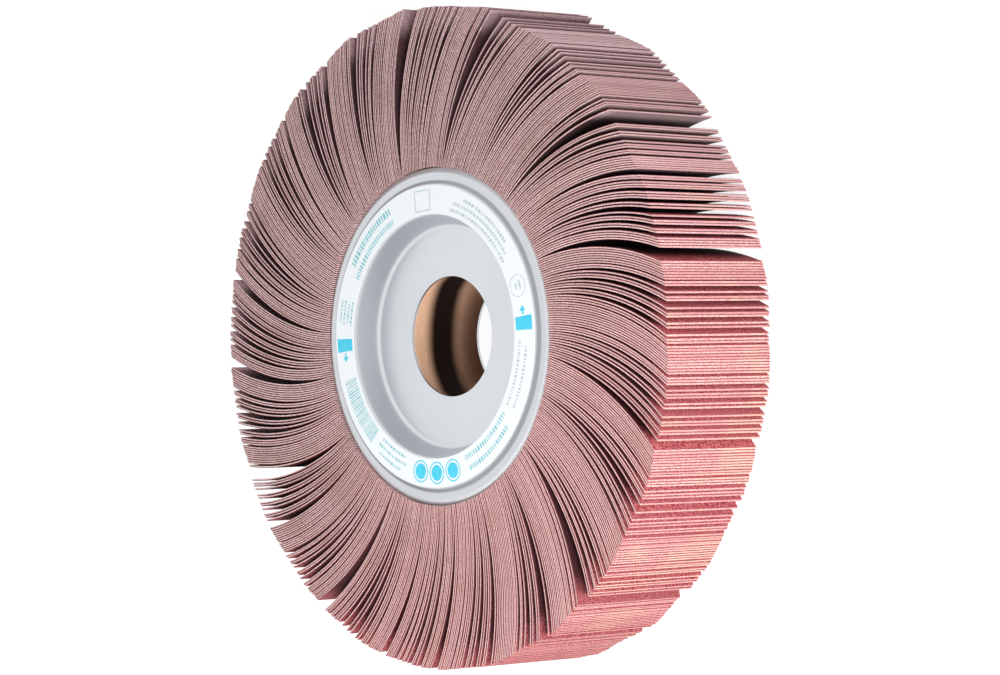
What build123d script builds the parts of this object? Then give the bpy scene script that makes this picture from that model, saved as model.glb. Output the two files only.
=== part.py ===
"""Flap wheel: swept abrasive cloth flaps bonded to a core between two pressed steel flanges."""
from build123d import *
import math
import os

# The wheel's axis is Z, its front face looks along +Z and the origin is half-way along the bore.
# Millimetres and degrees throughout. Angles run anticlockwise from +X, seen from the front.

# Wheel
wheel_width = 50.0
bore_radius = 22.0

# Pressed steel flanges. Widths run from the rim inwards: lip, band, step, seat and dish wall.
# Depths are measured in from the flaps' side face, and the seat stands proud of it.
flange_radius = 61.4
sheet = 1.0
lip_width = 2.0
lip_depth = 2.0
band_width = 2.8
band_depth = 0.5
step_width = 1.4
seat_width = 11.0
seat_rise = 0.8
wall_width = 3.3
plate_depth = 8.5

# Card core tube and cast core
tube_wall = 3.0
fit_gap = 0.05

# Paper label
label_thickness = 0.2
label_margin = 0.3

# Abrasive flaps
flap_thickness = 0.69
flap_root_gap = 0.098
flap_length = 61.9
flap_runs = 2
flap_bend = 35.0
glue_line = 0.15
mean_lean = 4.0

# Gaps between the bundles that the flaps lie in: where the gap starts at the roots, and how far
# the flap beyond it turns back, in degrees.
gaps = (
    (26.0, 4.0), (40.0, 1.8), (51.0, 4.5), (67.5, 1.5), (85.5, 6.0), (96.0, 2.0),
    (107.0, 7.0), (121.5, 4.0), (132.0, 3.5), (136.5, 3.5), (145.5, 1.8), (154.0, 2.0),
    (168.0, 2.3), (179.0, 3.3), (194.0, 3.5), (206.0, 2.0), (216.0, 4.5), (225.0, 2.5),
    (247.5, 4.5), (254.5, 2.0), (265.5, 2.5), (279.0, 3.0), (293.0, 2.5), (308.5, 4.0),
    (321.0, 5.5), (341.0, 2.5), (353.5, 3.0),
)

# Inside a bundle a share of the flaps turns back too, by a few degrees and in a scattered order.
# The share waxes and wanes by its swing, once in each stretch of so many flaps.
stray_opening = 2.6
stray_share = 0.45
stray_swing = 0.9
stretch = 23.3
scatter = 0.61803

half_width = wheel_width / 2
plate_height = half_width - plate_depth
seat_height = half_width + seat_rise
band_height = half_width - band_depth
lip_height = half_width - lip_depth
band_radius = flange_radius - lip_width
step_radius = band_radius - band_width
seat_radius = step_radius - step_width
dish_mouth_radius = seat_radius - seat_width
dish_floor_radius = dish_mouth_radius - wall_width

root_radius = flange_radius + glue_line
run_length = flap_length / flap_runs
flap_count = math.floor(2 * math.pi * root_radius / (flap_thickness + flap_root_gap))
pitch_angle = 360 / flap_count
first_angle = gaps[-1][0] - 360 + pitch_angle / 2


def root_angle(number):
    """Where a flap stands on the core, counted from the last gap."""
    return first_angle + number * pitch_angle


def gap_after(number):
    """Opening of the gap that comes right after a flap, or 0 inside a bundle."""
    for gap_angle, opening in gaps:
        if 0 <= gap_angle - root_angle(number) < pitch_angle:
            return opening
    return 0.0


def turn_back(number):
    """Degrees by which the next flap turns back from this one."""
    chance = (number * scatter) % 1
    share = stray_share * (1 + stray_swing * math.sin(2 * math.pi * number / stretch))
    return gap_after(number) or stray_opening * max(0.0, share - chance)


def flap_leans():
    """Lean of each flap at its root. Between gaps the flaps crowd together evenly."""
    openings = [turn_back(number) for number in range(flap_count)]
    crowding = sum(openings) / flap_count
    drifts = [0.0]
    for opening in openings[:-1]:
        drifts.append(drifts[-1] + crowding - opening)
    middle = sum(drifts) / flap_count
    return [mean_lean + drift - middle for drift in drifts]


def flap_bundles():
    """Root angle and lean of each flap, in one list for each bundle between two gaps."""
    bundles = []
    for number, lean in enumerate(flap_leans()):
        if number == 0 or gap_after(number - 1):
            bundles.append([])
        bundles[-1].append((root_angle(number), lean))
    return bundles


def flap_path(angle, lean):
    """Middle line of one flap's section, swept clockwise on its way out."""
    place = Vector(root_radius, 0).rotate(Axis.Z, angle)
    path = [place]
    for run in range(flap_runs):
        heading = angle - lean - flap_bend * (run + 0.5) / flap_runs
        place = place + Vector(run_length, 0).rotate(Axis.Z, heading)
        path.append(place)
    return path


def beside(path, distance):
    """Path that runs parallel to another, at a distance to its left."""
    headings = [(after - before).normalized() for before, after in zip(path, path[1:])]
    shifted = []
    for place, before, after in zip(path, headings[:1] + headings, headings + headings[-1:]):
        left = (before + after).normalized().rotate(Axis.Z, 90)
        shifted.append(place + left * (distance / before.dot((before + after).normalized())))
    return shifted


def strip(path, left, right):
    """Outline of a strip along a path, reaching so far to its left and right."""
    return beside(path, left) + beside(path, -right)[::-1]


def flap_outline(angle, lean):
    """Section of one flap, with its tip dressed flush with the round of the wheel."""
    path = flap_path(angle, lean)
    outline = strip(path, flap_thickness / 2, flap_thickness / 2)
    heading = (path[-1] - path[-2]).normalized()
    slant = heading.get_signed_angle(path[-1], Vector(0, 0, 1))
    bevel = heading * (flap_thickness / 2 * math.tan(math.radians(slant)))
    outline[flap_runs] -= bevel
    outline[flap_runs + 1] += bevel
    return outline


os.makedirs("parts", exist_ok=True)

# Front flange: one pressed sheet with a dished plate, a flat seat for the label, a step down to
# an outer band, and a lip that turns in towards the flaps.
flange_path = [
    Vector(bore_radius, plate_height),
    Vector(dish_floor_radius, plate_height),
    Vector(dish_mouth_radius, seat_height),
    Vector(seat_radius, seat_height),
    Vector(step_radius, band_height),
    Vector(band_radius, band_height),
    Vector(flange_radius, lip_height),
]
with BuildPart() as front_flange:
    with BuildSketch(Plane.XZ):
        with BuildLine():
            Polyline(*strip(flange_path, 0, sheet), close=True)
        make_face()
    revolve(axis=Axis.Z)
front_flange.part.label = "front_flange"
export_step(front_flange.part, "parts/front_flange.step")

# Rear flange: the same pressing, turned to face back.
with BuildPart() as rear_flange:
    mirror(front_flange.part, about=Plane.XY)
rear_flange.part.label = "rear_flange"
export_step(rear_flange.part, "parts/rear_flange.step")

# Paper label, stuck to the front flange's seat.
with BuildPart() as label:
    with BuildSketch(Plane.XY.offset(seat_height)):
        Circle(seat_radius - label_margin)
        Circle(dish_mouth_radius + label_margin, mode=Mode.SUBTRACT)
    extrude(amount=label_thickness)
label.part.label = "label"
export_step(label.part, "parts/label.step")

# Card tube between the two plates, flush with their bores.
tube_height = plate_height - sheet - fit_gap
tube_radius = bore_radius + tube_wall
with BuildPart() as core_tube:
    with BuildSketch(Plane.XY.offset(-tube_height)):
        Circle(tube_radius)
        Circle(bore_radius, mode=Mode.SUBTRACT)
    extrude(amount=2 * tube_height)
core_tube.part.label = "core_tube"
export_step(core_tube.part, "parts/core_tube.step")

# Cast core: adhesive that fills the flanges and holds the flaps' roots.
wall_slope = math.atan2(seat_height - plate_height, dish_mouth_radius - dish_floor_radius)
core_inset = (sheet + fit_gap) / math.sin(wall_slope)
core_shoulder = lip_height - sheet - fit_gap
plate_rise = (tube_height - plate_height) / math.tan(wall_slope)
shoulder_rise = (core_shoulder - plate_height) / math.tan(wall_slope)
core_top = [
    Vector(tube_radius + fit_gap, tube_height),
    Vector(dish_floor_radius + core_inset + plate_rise, tube_height),
    Vector(dish_floor_radius + core_inset + shoulder_rise, core_shoulder),
    Vector(flange_radius, core_shoulder),
]
core_bottom = [Vector(corner.X, -corner.Y) for corner in reversed(core_top)]
with BuildPart() as core:
    with BuildSketch(Plane.XZ):
        with BuildLine():
            Polyline(*core_top, *core_bottom, close=True)
        make_face()
    revolve(axis=Axis.Z)
core.part.label = "core"
export_step(core.part, "parts/core.step")

# Flaps, bundle by bundle.
for bundle_number, flaps in enumerate(flap_bundles(), start=1):
    with BuildPart() as bundle:
        with BuildSketch(Plane.XY.offset(-half_width)):
            for angle, lean in flaps:
                with BuildLine():
                    Polyline(*flap_outline(angle, lean), close=True)
                make_face()
        extrude(amount=wheel_width)
    bundle_name = f"flap_bundle_{bundle_number:02d}"
    bundle.part.label = bundle_name
    export_step(bundle.part, f"parts/{bundle_name}.step")
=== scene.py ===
"""Looks of the flap wheel: cloth flaps, satin steel flanges, a printed label and a card tube."""
import math
import random

import bpy
from mathutils import Matrix, Vector


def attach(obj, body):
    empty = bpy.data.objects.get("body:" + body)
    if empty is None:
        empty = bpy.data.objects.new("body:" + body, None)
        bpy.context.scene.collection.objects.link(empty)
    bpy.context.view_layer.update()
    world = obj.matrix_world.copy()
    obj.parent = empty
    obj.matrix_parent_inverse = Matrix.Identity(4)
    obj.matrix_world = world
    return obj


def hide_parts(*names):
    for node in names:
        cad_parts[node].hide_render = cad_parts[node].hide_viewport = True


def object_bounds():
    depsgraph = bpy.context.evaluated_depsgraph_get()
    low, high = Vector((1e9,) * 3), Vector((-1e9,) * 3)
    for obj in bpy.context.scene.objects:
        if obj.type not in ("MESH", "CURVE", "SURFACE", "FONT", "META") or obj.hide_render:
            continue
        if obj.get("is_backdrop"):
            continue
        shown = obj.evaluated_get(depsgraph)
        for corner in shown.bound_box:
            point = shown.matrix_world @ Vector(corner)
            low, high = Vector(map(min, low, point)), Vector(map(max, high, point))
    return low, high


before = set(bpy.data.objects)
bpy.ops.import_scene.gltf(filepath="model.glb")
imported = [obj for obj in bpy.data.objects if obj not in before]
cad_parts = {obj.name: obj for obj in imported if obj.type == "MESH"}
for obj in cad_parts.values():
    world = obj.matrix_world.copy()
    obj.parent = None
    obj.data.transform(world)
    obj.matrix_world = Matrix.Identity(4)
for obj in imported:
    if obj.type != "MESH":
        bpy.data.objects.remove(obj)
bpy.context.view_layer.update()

# The wheel's axis is Z, and its front face looks along +Z. Sizes are in millimetres and degrees,
# and angles run anticlockwise from +X, seen from the front. Blender itself counts in metres.
MM = 0.001
TO_MM = 1000.0

# Flange section on its outer side, from the bore to the lip: radii and heights
BORE, DISH_FLOOR, DISH_MOUTH, SEAT_EDGE = 22.0, 40.9, 44.2, 55.2
STEP_FOOT, LIP_START, RIM = 56.6, 59.4, 61.4
PLATE, SEAT, BAND, LIP_END = 16.5, 25.8, 24.5, 23.0
SHEET = 1.0

# Corners of that section, each with its bend radius.
FLANGE_SECTION = (
    (BORE, PLATE, 0.0), (DISH_FLOOR, PLATE, 1.6), (DISH_MOUTH, SEAT, 1.3), (SEAT_EDGE, SEAT, 0.9),
    (STEP_FOOT, BAND, 0.8), (LIP_START, BAND, 1.8), (RIM, LIP_END, 0.0),
)

# Flap pack. A flap's length is taken along its curve. Its length and its place across the pack
# are uneven. Its bend differs from side to side by the twist, in radians, which comes and goes in
# waves round the wheel.
FLAP_COUNT = 490
FLAP_THICKNESS = 0.69
FLAP_LENGTH = 62.1
FLAP_WIDTH = 50.0
FLAP_BEND = 35.0
GLUE_LINE = 0.15
ROOT_RADIUS = RIM + GLUE_LINE
MEAN_LEAN = 4.0
UNEVENNESS = 0.3
TWIST, TWIST_WAVES = 0.015, 5.0

# Gaps between the bundles that the flaps lie in: where the gap starts at the roots, and how far
# the flap beyond it turns back.
GAPS = (
    (26.0, 4.0), (40.0, 1.8), (51.0, 4.5), (67.5, 1.5), (85.5, 6.0), (96.0, 2.0),
    (107.0, 7.0), (121.5, 4.0), (132.0, 3.5), (136.5, 3.5), (145.5, 1.8), (154.0, 2.0),
    (168.0, 2.3), (179.0, 3.3), (194.0, 3.5), (206.0, 2.0), (216.0, 4.5), (225.0, 2.5),
    (247.5, 4.5), (254.5, 2.0), (265.5, 2.5), (279.0, 3.0), (293.0, 2.5), (308.5, 4.0),
    (321.0, 5.5), (341.0, 2.5), (353.5, 3.0),
)

# Inside a bundle a share of the flaps turns back too, by a few degrees and in a scattered order.
# The share waxes and wanes by its swing, once in each stretch of so many flaps.
STRAY_OPENING = 2.6
STRAY_SHARE = 0.45
STRAY_SWING = 0.9
STRETCH = 23.3
SCATTER = 0.61803

# Shares of a flap's thickness, from the cloth's back to the grit: where the cloth's cut edge
# gives way to the grit coat's, and where the back ends and the grit side begins.
COAT_EDGE = (0.62, 0.74)
BACK_SIDE = (0.005, 0.015)
GRIT_SIDE = (0.985, 0.995)

# Distance between the cloth's threads
THREAD_PITCH = 0.9

# Label, on the flange's seat, with its ink just above the paper. The shapes that stand alone have
# their middle at one radius.
LABEL_MARGIN, LABEL_THICKNESS, INK_RISE = 0.3, 0.2, 0.02
LABEL_INNER, LABEL_OUTER = DISH_MOUTH + LABEL_MARGIN, SEAT_EDGE - LABEL_MARGIN
LABEL_BOTTOM, LABEL_TOP = SEAT, SEAT + LABEL_THICKNESS
INK_HEIGHT = LABEL_TOP + INK_RISE
PRINT_RADIUS = 49.6

# Card tube, wound from strips that climb by one lead each turn, with a slanting band of painted
# shadow
TUBE_WALL, TUBE_EDGE, FIT_GAP = 3.0, 0.4, 0.05
TUBE_INNER, TUBE_OUTER = BORE, BORE + TUBE_WALL
TUBE_HALF = PLATE - SHEET - FIT_GAP
STRIP_LEAD = 26.0
BORE_SHADOW_HEIGHT, BORE_SHADOW_SLANT = 12.0, 0.43

# Steps in which curves are made, rows across a flap, and the sharpest turn that is shaded smooth
RING_STEPS = 256
BEND_STEPS = 6
FLAP_STEPS, FLAP_ROWS = 14, 3
MARK_STEPS = 5
OUTLINE_STEPS = 36
RING_CREASE, FLAP_CREASE = 40, 30

# Studio: how far the floor reaches in metres, its colour as light falls on it and where it is
# looked at, its glow there, and the world's level
FLOOR_REACH = 6.0
FLOOR_COLOUR, FLOOR_SEEN, FLOOR_GLOW = 0.8, 0.35, 0.84
WORLD_LEVEL = 0.35

# Camera, at the photograph's viewing angle: turned about the upright, with a slight roll. Its
# distance and offsets are in millimetres, and the end of its sight is in metres.
CAMERA_TURN, CAMERA_ROLL = 47.88, -0.26
CAMERA_DISTANCE, CAMERA_ASIDE, CAMERA_ABOVE = 1231.2, 5.45, -0.54
LENS, SENSOR, SIGHT_END = 120.33, 36.0, 20.0


def paint(red, green, blue):
    """A colour given from 0 to 255, as the linear values that a shader takes."""
    def linear(level):
        level = level / 255
        return level / 12.92 if level <= 0.04045 else ((level + 0.055) / 1.055) ** 2.4
    return (linear(red), linear(green), linear(blue), 1.0)


class Number:
    """A number that a node gives, used in plain arithmetic. Each operator adds its Math node."""

    def __init__(self, graph, socket):
        self.graph = graph
        self.socket = socket

    def math(self, operation, *others):
        return self.graph.node("ShaderNodeMath", {"operation": operation},
                               dict(enumerate((self,) + others)))[0]

    def __add__(self, other):
        return self.math("ADD", other)

    __radd__ = __add__

    def __mul__(self, other):
        return self.math("MULTIPLY", other)

    __rmul__ = __mul__

    def __sub__(self, other):
        return self.math("SUBTRACT", other)

    def __rsub__(self, other):
        return self * -1.0 + other

    def __truediv__(self, other):
        return self.math("DIVIDE", other)

    def sine(self):
        return self.math("SINE")

    def cosine(self):
        return self.math("COSINE")

    def rise(self, low, high):
        """0 below low and 1 above high, with a soft step between."""
        return self.graph.node("ShaderNodeMapRange", {"interpolation_type": "SMOOTHSTEP"},
                               {"Value": self, "From Min": low, "From Max": high})["Result"]

    def near(self, middle, inner, outer):
        """1 within the inner distance of a middle value, and 0 beyond the outer one."""
        return 1.0 - (self - middle).math("ABSOLUTE").rise(inner, outer)


class Made:
    """A node that has been added, which gives its outputs by name or number."""

    def __init__(self, graph, node):
        self.graph = graph
        self.node = node

    def __getitem__(self, name):
        return Number(self.graph, self.node.outputs[name])


class Graph:
    """A node tree of a material, a shape or the world. Its node method adds every node."""

    def __init__(self, tree):
        self.tree = tree

    def node(self, kind, settings=None, sockets=None):
        """Adds a node, sets it up, and then gives its sockets their values or links."""
        node = self.tree.nodes.new(kind)
        for name, value in (settings or {}).items():
            setattr(node, name, value)
        for name, value in (sockets or {}).items():
            if isinstance(value, Number):
                self.tree.links.new(value.socket, node.inputs[name])
            else:
                node.inputs[name].default_value = value
        return Made(self, node)

    def place(self):
        """Where a point lies on the object, in metres."""
        return self.node("ShaderNodeTexCoord")["Object"]

    def vector(self, x, y, z):
        return self.node("ShaderNodeCombineXYZ", {}, {0: x, 1: y, 2: z})[0]

    def split(self, vector):
        """The x, y and z of a vector."""
        parts = self.node("ShaderNodeSeparateXYZ", {}, {0: vector})
        return parts[0], parts[1], parts[2]

    def attribute(self, name):
        return self.node("ShaderNodeAttribute", {"attribute_name": name})["Fac"]

    def noise(self, place, scale, detail, roughness):
        return self.node("ShaderNodeTexNoise", {}, {
            "Vector": place, "Scale": scale, "Detail": detail, "Roughness": roughness})[0]

    def blend(self, share, first, second):
        """Goes from the first colour to the second one by a share."""
        return self.node("ShaderNodeMix", {"data_type": "RGBA"},
                         {0: share, 6: first, 7: second})[2]

    def bump(self, height, strength, distance):
        return self.node("ShaderNodeBump", {}, {
            "Height": height, "Strength": strength, "Distance": distance})[0]


def fresh_graph(owner):
    """An empty node tree on a material or a world."""
    owner.use_nodes = True
    owner.node_tree.nodes.clear()
    return Graph(owner.node_tree)


def material(name, dress):
    """A material whose surface is set by dress(graph), which gives the shader's inputs."""
    made = bpy.data.materials.new(name)
    graph = fresh_graph(made)
    surface = graph.node("ShaderNodeBsdfPrincipled", {}, dress(graph))
    graph.node("ShaderNodeOutputMaterial", {}, {"Surface": surface["BSDF"]})
    return made


# Finishes

def dress_flap_cloth(graph):
    """Coated cloth: its woven back, its grit side, its cut edges and its dressed tip."""
    layer = graph.attribute("layer")
    along = graph.attribute("along")
    across = graph.attribute("across")
    tone = graph.attribute("tone")
    place = graph.place()
    x, y, z = graph.split(place)
    across_mm = across * FLAP_WIDTH

    # Grain and threads lie on the flap's own sheet, laid flat. The flap's tone shifts them.
    sheet = graph.vector(along * FLAP_LENGTH, across_mm, tone * 40.0)
    grain = graph.noise(sheet, 1.6, 3.0, 0.7)
    mottle = graph.noise(sheet, 0.22, 2.0, 0.5)
    threads = (across * (FLAP_WIDTH * 2 * math.pi / THREAD_PITCH)).sine() * 0.5 + 0.5

    back = graph.blend(grain.rise(0.36, 0.64), paint(120, 100, 104), paint(182, 162, 164))
    back = graph.blend(threads * 0.25, back, paint(186, 168, 168))
    back = graph.blend(mottle * 0.35, back, paint(134, 108, 114))

    grit = graph.blend(grain.rise(0.42, 0.58), paint(150, 44, 58), paint(236, 140, 140))
    grit = graph.blend(mottle * 0.3, grit, paint(196, 78, 88))

    # Cut edges: yarn ends in the cloth, and the dark line of the grit coat. The cloth comes in
    # batches, and painted warm light turns the edges pinker towards the lower right.
    flecks = graph.noise(place, 2500.0, 2.0, 0.6)
    batch = graph.noise(place, 60.0, 2.0, 0.5)
    painted_warm_light = (x - y).rise(-0.06, 0.14)
    yarn = graph.blend(flecks.rise(0.35, 0.65), paint(192, 150, 153), paint(248, 220, 217))
    yarn = graph.blend(batch.rise(0.48, 0.7) * 0.35, yarn, paint(180, 152, 134))
    yarn = graph.blend(painted_warm_light * 0.4, yarn, paint(246, 180, 176))
    coat = graph.blend(flecks.rise(0.45, 0.75), paint(58, 18, 24), paint(158, 70, 74))
    edge = graph.blend(layer.rise(*COAT_EDGE), yarn, coat)

    # Dressed tips: dusty pink with patches of pale lint, and a ragged dark line of coat.
    dust = graph.noise(graph.vector(across_mm, layer * 1.5, tone * 40.0), 1.7, 2.0, 0.6)
    lint = graph.noise(graph.vector(across_mm, layer * 3.0, tone * 70.0), 0.9, 5.0, 0.8)
    patch = graph.noise(place, 38.0, 2.0, 0.5)
    tip = graph.blend(dust.rise(0.36, 0.64), paint(180, 110, 114), paint(234, 188, 184))
    tip = graph.blend(tone.rise(0.3, 1.0) * 0.4, tip, paint(200, 118, 122))
    tip = graph.blend(patch.rise(0.5, 0.62) * 0.4, tip, paint(222, 190, 162))
    tip = graph.blend(lint.rise(0.54, 0.66) * 0.7, tip, paint(240, 206, 166))
    # Painted shade greys the tips in the upper half, and a painted highlight lightens those near
    # the top.
    tip = graph.blend(y.rise(0.01, 0.08) * 0.7, tip, paint(190, 160, 164))
    tip = graph.blend(y.rise(0.088, 0.106) * 0.75, tip, paint(238, 208, 212))
    ragged = layer + (lint - 0.5) * 0.3
    tip = graph.blend(ragged.rise(0.76, 0.88), tip, paint(116, 52, 58))
    edge = graph.blend(along.rise(0.995, 0.999), edge, tip)

    # Painted shade darkens the flap sides inside the pack, less near the tips, least at upper tips.
    is_grit = layer.rise(*GRIT_SIDE)
    is_back = 1.0 - layer.rise(*BACK_SIDE)
    depth = 0.5 - across.math("ABSOLUTE")
    near_tip = along.rise(0.8, 0.95) * (y.rise(-0.1, 0.0) * 0.4 + 0.6)
    painted_slit_shade = depth.rise(-0.01, 0.008) * (1.0 - near_tip)
    sides = graph.blend(is_grit, back, grit)
    sides = graph.blend(painted_slit_shade * 0.94, sides, paint(38, 10, 15))

    colour = graph.blend(is_grit.math("MAXIMUM", is_back), edge, sides)
    colour = graph.blend(tone * 0.22, colour, paint(120, 84, 88))
    relief = grain * 0.6 + threads * 0.4
    return {
        "Base Color": colour,
        "Roughness": 0.88,
        "Specular IOR Level": 0.25,
        "Normal": graph.bump(relief, 0.5, 0.00015),
    }


def dress_satin_steel(graph):
    """Pressed steel with faint turning rings, and painted shade on the drawn wall and below the
    seat.
    """
    place = graph.place()
    x, y, z = graph.split(place)
    radius = (x * x + y * y).math("SQRT") * TO_MM
    rings = graph.noise(graph.vector(radius, z * 600.0, 0.0), 2.2, 3.0, 0.6)
    cloud = graph.noise(place, 28.0, 3.0, 0.55)
    speck = graph.noise(place, 900.0, 2.0, 0.6)
    wall_start = radius.rise(DISH_FLOOR - 0.1, DISH_FLOOR + 0.9)
    wall_end = radius.rise(DISH_MOUTH - 0.8, DISH_MOUTH + 0.2)
    wall = wall_start * (1.0 - wall_end)
    band = radius.rise(STEP_FOOT - 0.2, STEP_FOOT + 0.8)
    corner = (radius + cloud * 0.4).near(STEP_FOOT - 0.2, 0.3, 1.1)
    lip = radius.rise(LIP_START - 0.4, LIP_START + 0.6)

    colour = graph.blend(cloud, paint(214, 217, 221), paint(226, 229, 233))
    colour = graph.blend(rings.rise(0.4, 0.8) * 0.2, colour, paint(200, 204, 209))
    # Painted shade on the drawn wall
    colour = graph.blend(wall * 0.42, colour, paint(160, 165, 174))
    colour = graph.blend(band * 0.25, colour, paint(188, 191, 194))
    # Painted shade in the step below the seat
    colour = graph.blend(corner * 0.75, colour, paint(136, 139, 143))
    return {
        "Base Color": colour,
        "Metallic": 0.97 - lip * 0.75,
        "Roughness": cloud * 0.08 + rings * 0.06 + lip * 0.2 + 0.24,
        "Normal": graph.bump(rings * 0.5 + speck * 0.5, 0.03, 0.00005),
    }


def dress_label_paper(graph):
    """White paper under a thin varnish."""
    place = graph.place()
    fibre = graph.noise(place, 700.0, 4.0, 0.6)
    cloud = graph.noise(place, 45.0, 2.0, 0.5)
    return {
        "Base Color": graph.blend(cloud, paint(229, 235, 239), paint(236, 240, 243)),
        "Roughness": fibre * 0.12 + 0.42,
        "Coat Weight": 0.1,
        "Normal": graph.bump(fibre, 0.12, 0.00004),
    }


def dress_ink(colour, faded):
    """Printer's ink that lets a little paper through."""
    def dress(graph):
        wear = graph.noise(graph.place(), 520.0, 3.0, 0.6)
        return {
            "Base Color": graph.blend(wear.rise(0.35, 0.8), colour, faded),
            "Roughness": wear * 0.1 + 0.4,
            "Normal": graph.bump(wear, 0.08, 0.00003),
        }
    return dress


def dress_card(graph):
    """Wound card: a spiral seam, a dark band of painted shadow, browner painted shade towards the
    rear.
    """
    place = graph.place()
    x, y, z = graph.split(place)
    height = z * TO_MM
    turn = y.math("ARCTAN2", x)
    lead = height * (1 / STRIP_LEAD) + turn / (2 * math.pi)
    seam = lead.math("FRACT").near(0.5, 0.0, 0.03)
    fibre = graph.noise(graph.vector(x, y, z * 5.0), 420.0, 4.0, 0.65)
    cloud = graph.noise(place, 60.0, 3.0, 0.5)
    # Painted shade: browner and darker towards the rear
    painted_rear_shade = 1.0 - (height + cloud * 6.0).rise(-12.0, 8.0)
    # Painted shadow: a near-black band that slants across the bore
    painted_bore_shadow = (height - x * (BORE_SHADOW_SLANT * TO_MM) + cloud * 1.5).near(BORE_SHADOW_HEIGHT, 3.5, 9.5)

    colour = graph.blend(fibre, paint(196, 146, 114), paint(240, 204, 176))
    colour = graph.blend(cloud * 0.3, colour, paint(190, 142, 112))
    colour = graph.blend(seam * 0.35, colour, paint(104, 66, 46))
    colour = graph.blend(painted_rear_shade * 0.85, colour, paint(98, 64, 48))
    colour = graph.blend(painted_bore_shadow, colour, paint(24, 13, 9))
    return {
        "Base Color": colour,
        "Specular IOR Level": 0.06,
        "Roughness": fibre * 0.15 + 0.6,
        "Normal": graph.bump(fibre * 0.6 - seam * 0.4, 0.4, 0.00012),
    }


def dress_adhesive(graph):
    """Cured adhesive, cast rough and brown."""
    lumps = graph.noise(graph.place(), 160.0, 4.0, 0.6)
    return {
        "Base Color": graph.blend(lumps, paint(70, 48, 42), paint(122, 92, 80)),
        "Roughness": lumps * 0.2 + 0.45,
        "Normal": graph.bump(lumps, 0.4, 0.0003),
    }


flap_cloth = material("flap_cloth", dress_flap_cloth)
satin_steel = material("satin_steel", dress_satin_steel)
label_paper = material("label_paper", dress_label_paper)
cyan_ink = material("cyan_ink", dress_ink(paint(62, 196, 226), paint(96, 210, 234)))
teal_ink = material("teal_ink", dress_ink(paint(120, 188, 196), paint(178, 216, 220)))
grey_ink = material("grey_ink", dress_ink(paint(176, 190, 194), paint(214, 222, 224)))
wound_card = material("wound_card", dress_card)
cured_adhesive = material("cured_adhesive", dress_adhesive)


# Shapes

def keep(name, mesh, *finishes):
    """Puts a mesh into the scene as a named object."""
    piece = bpy.data.objects.new(name, mesh)
    for finish in finishes:
        mesh.materials.append(finish)
    bpy.context.scene.collection.objects.link(piece)
    return piece


def soften(mesh, degrees):
    """Smooth shading, with edges that turn by more than so many degrees left sharp."""
    mesh.shade_smooth()
    mesh.set_sharp_from_angle(angle=math.radians(degrees))


def rounded(section):
    """A section's corners as points, each corner with a bend radius replaced by an arc."""
    points = []
    count = len(section)
    for index, (x, y, bend) in enumerate(section):
        corner = Vector((x, y))
        if bend == 0:
            points.append(corner)
            continue
        before = (Vector(section[index - 1][:2]) - corner).normalized()
        after = (Vector(section[(index + 1) % count][:2]) - corner).normalized()
        half = before.angle(after) / 2
        centre = corner + (before + after).normalized() * (bend / math.sin(half))
        start = (corner + before * (bend / math.tan(half)) - centre).normalized()
        end = (corner + after * (bend / math.tan(half)) - centre).normalized()
        for step in range(BEND_STEPS + 1):
            points.append(centre + start.slerp(end, step / BEND_STEPS) * bend)
    return points


def beside(path, distance):
    """Path that runs parallel to another, at a distance to its right."""
    shifted = []
    for index, place in enumerate(path):
        before = (place - path[index - 1]).normalized() if index else None
        after = (path[index + 1] - place).normalized() if index + 1 < len(path) else None
        before = before or after
        after = after or before
        middle = (before + after).normalized()
        right = Vector((middle.y, -middle.x))
        shifted.append(place + right * (distance / before.dot(middle)))
    return shifted


def flip_outwards(mesh):
    """Turns a closed mesh's faces outwards, if they point in."""
    volume = 0.0
    for face in mesh.polygons:
        places = [mesh.vertices[index].co for index in face.vertices]
        for second, third in zip(places[1:], places[2:]):
            volume += places[0].dot(second.cross(third))
    if volume < 0:
        mesh.flip_normals()


def turned(name, section, finish):
    """A ring turned from a closed section of radius and height, in millimetres."""
    count = len(section)
    corners = []
    for turn in range(RING_STEPS):
        angle = 2 * math.pi * turn / RING_STEPS
        for point in section:
            corners.append((point.x * MM * math.cos(angle), point.x * MM * math.sin(angle),
                            point.y * MM))
    faces = []
    for turn in range(RING_STEPS):
        here, there = turn * count, (turn + 1) % RING_STEPS * count
        for index in range(count):
            following = (index + 1) % count
            faces.append((here + index, there + index, there + following, here + following))
    mesh = bpy.data.meshes.new(name)
    mesh.from_pydata(corners, [], faces)
    flip_outwards(mesh)
    soften(mesh, RING_CREASE)
    return keep(name, mesh, finish)


def stations(name, columns):
    """A mesh of loose points, one for each row, with the columns as their attributes."""
    count = len(next(iter(columns.values())))
    mesh = bpy.data.meshes.new(name)
    mesh.from_pydata([(0, 0, 0)] * count, [], [])
    for label, values in columns.items():
        mesh.attributes.new(label, "FLOAT", "POINT").data.foreach_set("value", values)
    return mesh


def named(graph, label):
    """An attribute that the points carry."""
    return graph.node("GeometryNodeInputNamedAttribute", {"data_type": "FLOAT"}, {"Name": label})[0]


def labelled(graph, shape, **values):
    """A shape whose points carry more attributes."""
    for label, value in values.items():
        shape = graph.node(
            "GeometryNodeStoreNamedAttribute", {"data_type": "FLOAT", "domain": "POINT"},
            {"Geometry": shape, "Name": label, "Value": value})[0]
    return shape


def position(graph):
    """The x, y and z of each point of a shape."""
    return graph.split(graph.node("GeometryNodeInputPosition")[0])


def copied(graph, points, shape):
    """A copy of a shape on each point, which takes over the point's attributes."""
    copies = graph.node("GeometryNodeInstanceOnPoints", {}, {"Points": points, "Instance": shape})
    return graph.node("GeometryNodeRealizeInstances", {}, {0: copies[0]})[0]


def moved(graph, shape, x, y, z):
    """A shape with each point moved to a place of its own."""
    return graph.node("GeometryNodeSetPosition", {}, {
        "Geometry": shape, "Position": graph.vector(x, y, z)})[0]


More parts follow.
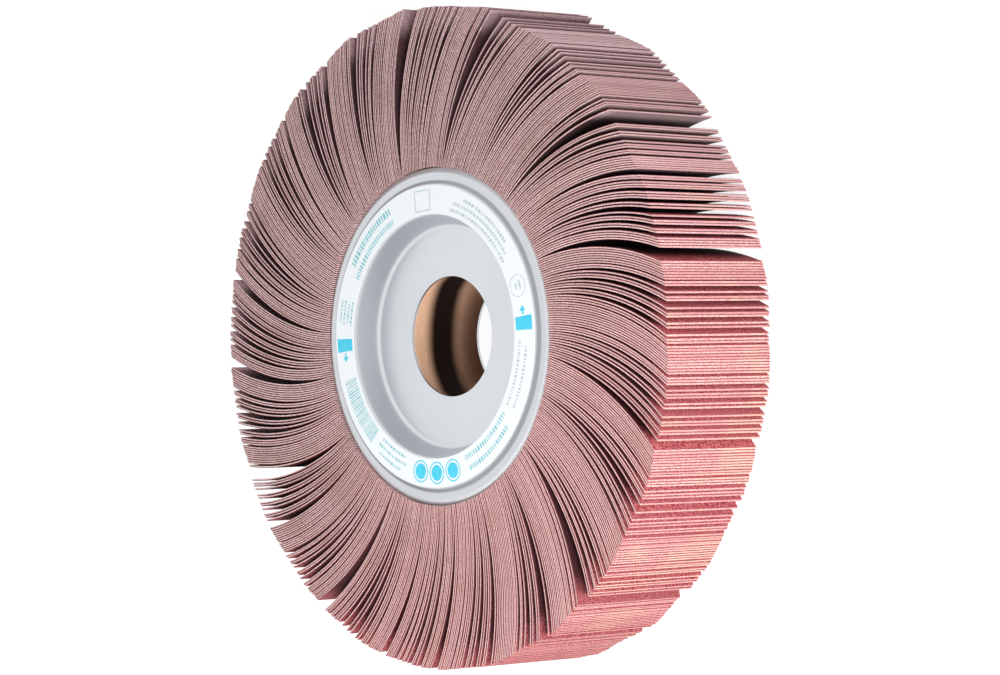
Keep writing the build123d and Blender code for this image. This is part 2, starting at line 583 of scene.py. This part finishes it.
def grown(name, mesh, build, sizes, finish):
    """Runs a geometry node tree on a mesh, and keeps the result as a plain mesh."""
    tree = bpy.data.node_groups.new(name, "GeometryNodeTree")
    tree.interface.new_socket("Geometry", in_out="OUTPUT", socket_type="NodeSocketGeometry")
    tree.interface.new_socket("Geometry", in_out="INPUT", socket_type="NodeSocketGeometry")
    for label in sizes:
        tree.interface.new_socket(label, in_out="INPUT", socket_type="NodeSocketFloat")
    tree.interface.new_socket("Finish", in_out="INPUT", socket_type="NodeSocketMaterial")
    graph = Graph(tree)
    given = graph.node("NodeGroupInput")
    shape = build(graph, given)
    shape = graph.node("GeometryNodeRealizeInstances", {}, {0: shape})[0]
    shape = graph.node("GeometryNodeSetMaterial", {}, {
        "Geometry": shape, "Material": given["Finish"]})[0]
    graph.node("NodeGroupOutput", {}, {0: shape})

    base = keep(name + "_base", mesh)
    modifier = base.modifiers.new(name, "NODES")
    modifier.node_group = tree
    values = {**sizes, "Finish": finish}
    for item in tree.interface.items_tree:
        if item.in_out == "INPUT" and item.name in values:
            modifier[item.identifier] = values[item.name]
    depsgraph = bpy.context.evaluated_depsgraph_get()
    made = bpy.data.meshes.new_from_object(base.evaluated_get(depsgraph))
    base.modifiers.clear()
    bpy.data.objects.remove(base)
    made.name = name
    return keep(name, made)


# Flaps

def flap_stations():
    """Where each flap stands, how far it leans there, and its own shade."""
    pitch = 360 / FLAP_COUNT
    first = GAPS[-1][0] - 360 + pitch / 2
    turns = [first + number * pitch for number in range(FLAP_COUNT)]
    openings = []
    for number, turn in enumerate(turns):
        share = STRAY_SHARE * (1 + STRAY_SWING * math.sin(2 * math.pi * number / STRETCH))
        opening = STRAY_OPENING * max(0.0, share - (number * SCATTER) % 1)
        for gap_turn, gap_opening in GAPS:
            if 0 <= gap_turn - turn < pitch:
                opening = gap_opening
        openings.append(opening)
    crowding = sum(openings) / FLAP_COUNT
    leans = [0.0]
    for opening in openings[:-1]:
        leans.append(leans[-1] + crowding - opening)
    middle = sum(leans) / FLAP_COUNT
    chance = random.Random(5)
    return {
        "turn": [math.radians(turn) for turn in turns],
        "lean": [math.radians(MEAN_LEAN + lean - middle) for lean in leans],
        "tone": [chance.random() for _ in turns],
    }


def build_flaps(graph, given):
    """A thin block on each station, curved and swept, with its tip dressed."""
    block = graph.node("GeometryNodeMeshCube", {}, {
        "Size": (1, 1, 1), "Vertices X": FLAP_STEPS + 1, "Vertices Y": 2,
        "Vertices Z": FLAP_ROWS + 1})["Mesh"]
    x, y, z = position(graph)
    block = labelled(graph, block, along=x + 0.5, layer=y + 0.5, across=z + 0.0)
    flaps = copied(graph, given["Geometry"], block)

    along, layer, across = named(graph, "along"), named(graph, "layer"), named(graph, "across")
    turn, tone = named(graph, "turn"), named(graph, "tone")
    bend = (turn * TWIST_WAVES).sine() * across * given["Twist"] + given["Bend"]
    heading = turn - named(graph, "lean")
    facing = heading - bend * along
    reach = (given["Flap Length"] + (tone - 0.5) * given["Unevenness"]) / bend
    aside = (layer - 0.5) * given["Thickness"]
    x = turn.cosine() * given["Root Radius"] + reach * (heading.sine() - facing.sine())
    y = turn.sine() * given["Root Radius"] + reach * (facing.cosine() - heading.cosine())

    # The tip is dressed flush with the round of the wheel.
    slant = (x * facing.sine() - y * facing.cosine()) / (x * facing.cosine() + y * facing.sine())
    bevel = aside * slant * along.rise(0.95, 1.0)
    x = x + bevel * facing.cosine() - aside * facing.sine()
    y = y + bevel * facing.sine() + aside * facing.cosine()

    # Its sides aren't quite flush. The last digits of its tone serve as another chance value.
    shift = ((tone * 97.0).math("FRACT") - 0.5) * given["Unevenness"]
    return moved(graph, flaps, x, y, across * given["Width"] + shift)


flaps = grown("flap_pack", stations("flap_stations", flap_stations()), build_flaps, {
    "Flap Length": FLAP_LENGTH * MM, "Width": FLAP_WIDTH * MM, "Thickness": FLAP_THICKNESS * MM,
    "Root Radius": ROOT_RADIUS * MM, "Bend": math.radians(FLAP_BEND),
    "Twist": TWIST, "Unevenness": UNEVENNESS * MM,
}, flap_cloth)
soften(flaps.data, FLAP_CREASE)
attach(flaps, "root")
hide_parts(*[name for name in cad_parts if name.startswith("flap_bundle")])


# Flanges

def flange_ring(name, side):
    """One pressed sheet of steel, with the inner side of each bend half as wide."""
    corners = [Vector((radius, height)) for radius, height, bend in FLANGE_SECTION]
    bends = [bend for radius, height, bend in FLANGE_SECTION]
    section = [(corner.x, corner.y, bend) for corner, bend in zip(corners, bends)]
    under = [(corner.x, corner.y, bend * 0.5)
             for corner, bend in zip(beside(corners, SHEET), bends)]
    points = [Vector((point.x, point.y * side)) for point in rounded(section + under[::-1])]
    ring = turned(name, points, satin_steel)
    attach(ring, "root")
    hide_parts(name)
    ring.name = name + "_pressing"


flange_ring("front_flange", 1)
flange_ring("rear_flange", -1)


# Label

label_ring = turned("label_ring", [
    Vector((LABEL_INNER, LABEL_BOTTOM)), Vector((LABEL_OUTER, LABEL_BOTTOM)),
    Vector((LABEL_OUTER, LABEL_TOP)), Vector((LABEL_INNER, LABEL_TOP))], label_paper)
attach(label_ring, "root")
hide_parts("label")


def print_marks(rows):
    """Marks of printed rows, as spans of an arc: start, end, inner and outer radius."""
    chance = random.Random(11)
    marks = {"start": [], "end": [], "inner": [], "outer": []}
    for start, end, inner, outer, shortest, longest, space in rows:
        reach = (inner + outer) / 2 * math.radians(1)
        place = start
        while place < end:
            length = end - place
            if longest:
                length = min(chance.uniform(shortest, longest) / reach, length)
            marks["start"].append(math.radians(place))
            marks["end"].append(math.radians(place + length))
            marks["inner"].append(inner * MM)
            marks["outer"].append(outer * MM)
            place += length + space / reach
    return marks


def build_marks(graph, given):
    """A flat patch on each station, bent along its arc."""
    patch = graph.node("GeometryNodeMeshGrid", {}, {
        "Size X": 1.0, "Size Y": 1.0, "Vertices X": MARK_STEPS + 1, "Vertices Y": 2})["Mesh"]
    x, y, z = position(graph)
    patch = labelled(graph, patch, along=x + 0.5, out=y + 0.5)
    marks = copied(graph, given["Geometry"], patch)
    start, end = named(graph, "start"), named(graph, "end")
    inner, outer = named(graph, "inner"), named(graph, "outer")
    turn = end + (start - end) * named(graph, "along")
    radius = inner + (outer - inner) * named(graph, "out")
    return moved(graph, marks, turn.cosine() * radius, turn.sine() * radius, given["Height"])


def print_rows(name, ink, *rows):
    """Prints rows of marks on the label. A row gives its start and end in degrees, its inner and
    outer radius, its shortest and longest mark, and the space between marks. Where the longest
    mark is 0, the row is one solid field."""
    piece = grown(name, stations(name + "_rows", print_marks(rows)), build_marks,
                  {"Height": INK_HEIGHT * MM}, ink)
    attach(piece, "root")


def print_shapes(name, ink, angles, outlines):
    """Prints flat outlines on the label, at each of some angles. An outline runs anticlockwise, on
    axes that point around the wheel and outwards."""
    corners, faces = [], []
    for angle in angles:
        out = Vector((math.cos(math.radians(angle)), math.sin(math.radians(angle))))
        around = Vector((-out.y, out.x))
        for outline in outlines:
            faces.append(range(len(corners), len(corners) + len(outline))[::-1])
            for x, y in outline:
                place = out * (PRINT_RADIUS + y) + around * x
                corners.append((place.x * MM, place.y * MM, INK_HEIGHT * MM))
    mesh = bpy.data.meshes.new(name)
    mesh.from_pydata(corners, [], faces)
    piece = keep(name, mesh, ink)
    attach(piece, "root")


def bar(width, height, x, y=0.0):
    """A bar with its middle at a place."""
    return [[(x - width / 2, y - height / 2), (x + width / 2, y - height / 2),
             (x + width / 2, y + height / 2), (x - width / 2, y + height / 2)]]


def circle(radius):
    """Points on a circle, anticlockwise."""
    turns = [2 * math.pi * step / OUTLINE_STEPS for step in range(OUTLINE_STEPS)]
    return [(radius * math.cos(turn), radius * math.sin(turn)) for turn in turns]


def ring(outer, inner):
    """A thin ring, as an outline for each of its steps."""
    inside, outside = circle(inner), circle(outer)
    inside_next, outside_next = inside[1:] + inside[:1], outside[1:] + outside[:1]
    return [list(step) for step in zip(inside, outside, outside_next, inside_next)]


def disc(radius):
    return [circle(radius)]


def arrow(length, width):
    """An arrow that points the way the wheel turns."""
    head = length * 0.6
    tip, neck = length / 2, length / 2 - head
    return [[(tip, 0), (neck, width / 2), (neck, -width / 2)],
            *bar(length - head, width * 0.3, -head / 2)]


print_rows(
    "cyan_fields", cyan_ink,
    (2.5, 8.2, 45.4, 53.9, 0, 0, 0),
    (181.0, 186.5, 45.4, 53.9, 0, 0, 0))
print_rows(
    "teal_rows", teal_ink,
    (117.0, 149.0, 50.4, 52.9, 0.5, 1.2, 0.6), (117.0, 153.5, 46.3, 48.3, 0.4, 1.0, 0.6),
    (164.0, 175.5, 46.0, 46.9, 0.3, 1.2, 0.5), (165.5, 174.5, 48.0, 48.9, 0.3, 1.2, 0.5),
    (164.5, 175.0, 50.0, 50.9, 0.3, 1.2, 0.5), (165.0, 174.0, 52.0, 52.9, 0.3, 1.2, 0.5),
    (199.0, 229.0, 45.8, 52.4, 0.2, 0.6, 0.5),
    (234.0, 251.5, 46.2, 47.2, 0.3, 1.2, 0.5), (233.0, 252.5, 48.9, 49.9, 0.3, 1.2, 0.5),
    (235.5, 250.0, 51.6, 52.6, 0.3, 1.2, 0.5),
    (292.5, 325.0, 46.4, 48.2, 0.4, 1.0, 0.6), (293.5, 322.0, 50.6, 52.4, 0.4, 1.0, 0.6))
print_rows(
    "grey_rows", grey_ink,
    (40.0, 70.0, 51.2, 52.4, 0.3, 1.4, 0.5), (36.0, 76.0, 48.7, 49.9, 0.3, 1.4, 0.5),
    (34.0, 78.0, 46.2, 47.4, 0.3, 1.4, 0.5),
    (329.0, 358.0, 46.6, 47.8, 0.3, 1.2, 0.6), (330.0, 356.0, 50.0, 51.2, 0.3, 1.2, 0.6))
print_shapes("turn_arrows", cyan_ink, (10.8, 189.2), arrow(3.4, 3.0))
print_shapes("cyan_rings", cyan_ink, (262.5, 272.8, 283.1), ring(4.1, 3.6) + disc(2.9))
print_shapes("grade_stamp", grey_ink, (21.0,),
             ring(4.1, 3.8) + bar(3.4, 0.9, 0.0, 1.0) + bar(2.4, 0.9, 0.0, -1.0))
print_shapes("plain_panel", grey_ink, (95.8,),
             bar(8.6, 0.4, 0.0, 3.7) + bar(8.6, 0.4, 0.0, -3.7)
             + bar(0.4, 7.0, 4.1) + bar(0.4, 7.0, -4.1))


# Card tube and core

tube = turned("card_tube", rounded([
    (TUBE_INNER, -TUBE_HALF, TUBE_EDGE), (TUBE_OUTER, -TUBE_HALF, TUBE_EDGE),
    (TUBE_OUTER, TUBE_HALF, TUBE_EDGE), (TUBE_INNER, TUBE_HALF, TUBE_EDGE)]), wound_card)
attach(tube, "root")
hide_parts("core_tube")

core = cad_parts["core"]
core.data.materials.clear()
core.data.materials.append(cured_adhesive)


# Camera, floor and lamps

def place_camera():
    """The camera that the wheel is seen through, with the wheel's +Y upright in its view."""
    turn, roll = math.radians(CAMERA_TURN), math.radians(CAMERA_ROLL)
    right = Vector((math.cos(turn), 0, -math.sin(turn)))
    up = Vector((0, 1, 0))
    back = Vector((math.sin(turn), 0, math.cos(turn)))
    tilted_right = right * math.cos(roll) + up * math.sin(roll)
    tilted_up = up * math.cos(roll) - right * math.sin(roll)
    camera = bpy.data.objects.new("camera", bpy.data.cameras.new("camera"))
    camera.data.sensor_width = SENSOR
    camera.data.lens = LENS
    camera.data.clip_end = SIGHT_END
    camera.location = (back * CAMERA_DISTANCE + right * CAMERA_ASIDE + up * CAMERA_ABOVE) * MM
    camera.rotation_mode = "QUATERNION"
    facing = Matrix((tilted_right, tilted_up, back)).transposed()
    camera.rotation_quaternion = facing.to_quaternion()
    bpy.context.scene.collection.objects.link(camera)
    bpy.context.scene.camera = camera


def seen(graph):
    """1 where the camera or a reflection looks straight at a backdrop, and 0 elsewhere."""
    path = graph.node("ShaderNodeLightPath")
    return path["Is Camera Ray"].math("MAXIMUM", path["Is Glossy Ray"])


def white_floor():
    """A white floor that keeps the wheel's shadow."""
    made = bpy.data.materials.new("white_floor")
    graph = fresh_graph(made)
    looked_at = seen(graph)
    cast = graph.node("ShaderNodeBsdfDiffuse", {}, {
        "Color": FLOOR_COLOUR - looked_at * (FLOOR_COLOUR - FLOOR_SEEN)})
    glow = graph.node("ShaderNodeEmission", {}, {
        "Color": (1, 1, 1, 1), "Strength": looked_at * FLOOR_GLOW})
    both = graph.node("ShaderNodeAddShader", {}, {0: cast[0], 1: glow[0]})
    graph.node("ShaderNodeOutputMaterial", {}, {"Surface": both[0]})
    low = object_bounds()[0].z
    mesh = bpy.data.meshes.new("floor")
    mesh.from_pydata([(-FLOOR_REACH, -FLOOR_REACH, low), (FLOOR_REACH, -FLOOR_REACH, low),
                      (FLOOR_REACH, FLOOR_REACH, low), (-FLOOR_REACH, FLOOR_REACH, low)],
                     [], [(0, 1, 2, 3)])
    return keep("floor", mesh, made)


def pale_world():
    """Soft light from all round, which looks white itself."""
    world = bpy.data.worlds.new("studio")
    bpy.context.scene.world = world
    graph = fresh_graph(world)
    sky = graph.node("ShaderNodeBackground", {}, {
        "Color": (1, 1, 1, 1), "Strength": seen(graph) * (1 - WORLD_LEVEL) + WORLD_LEVEL})
    graph.node("ShaderNodeOutputWorld", {}, {"Surface": sky[0]})


def lamp(name, place, size, power):
    """A soft square lamp that looks at the wheel and doesn't show in its gloss. Its place and size
    are in metres, and its power in watts."""
    light = bpy.data.lights.new(name, "AREA")
    light.shape = "SQUARE"
    light.size = size
    light.energy = power
    holder = bpy.data.objects.new(name, light)
    holder.location = place
    holder.rotation_mode = "QUATERNION"
    holder.rotation_quaternion = (-Vector(place)).to_track_quat("-Z", "Y")
    holder.visible_glossy = False
    bpy.context.scene.collection.objects.link(holder)


place_camera()
floor = white_floor()
floor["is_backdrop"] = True
pale_world()
lamp("key", (0.08, -0.5, 0.5), 0.25, 2.5)
lamp("fill", (0.85, -0.12, 0.5), 0.3, 6.8)
lamp("side", (0.95, -0.2, 0.12), 0.2, 4.6)
lamp("top", (-0.7, 1.05, 0.15), 0.3, 8.5)
bpy.context.scene.view_settings.view_transform = "Standard"
